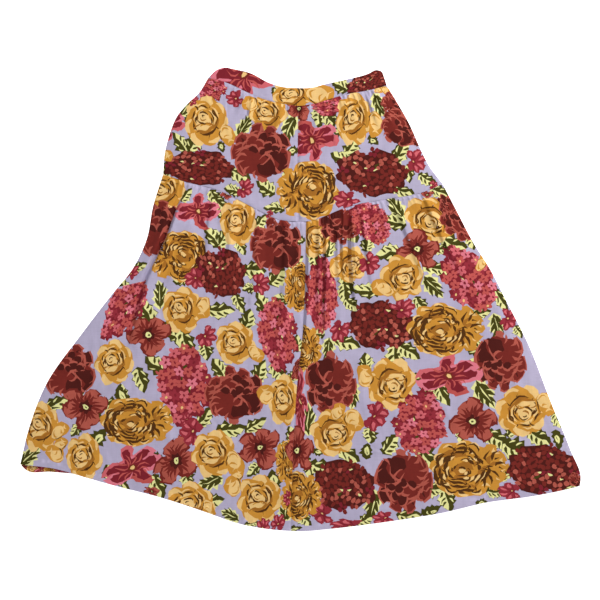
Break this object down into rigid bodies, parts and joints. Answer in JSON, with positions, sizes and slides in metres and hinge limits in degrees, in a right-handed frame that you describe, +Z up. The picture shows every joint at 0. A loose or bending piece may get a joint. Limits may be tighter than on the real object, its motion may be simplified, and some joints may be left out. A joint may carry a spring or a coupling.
{
  "type": "tiered midi skirt laid flat",
  "caption": "Floral tiered midi skirt laid flat face up: shaped waistband, upper tier with a centre seam and a flared, gathered lower tier.",
  "frame": {"origin": "on the ground under the middle of the laid skirt's bounding box", "axes": "+Z up out of the skirt's front, +Y towards the waist, +X towards the hem's right corner as seen from above"},
  "size_m": [1.0149, 0.8374, 0.0161],
  "materials": {
    "skirt_cloth": "matt plain-woven viscose or cotton, lightly crinkled, lavender ground under a dense all-over floral print",
    "waistband_cloth": "the same printed cloth, cut double and pressed flat"
  },
  "bodies": {
    "root": {"waistband_front": "waistband_cloth", "waistband_back": "waistband_cloth", "upper_tier_front_left": "skirt_cloth", "upper_tier_front_right": "skirt_cloth", "upper_tier_back": "skirt_cloth", "lower_tier_front_left": "skirt_cloth", "lower_tier_front_right": "skirt_cloth", "lower_tier_back": "skirt_cloth"}
  },
  "joints": []
}
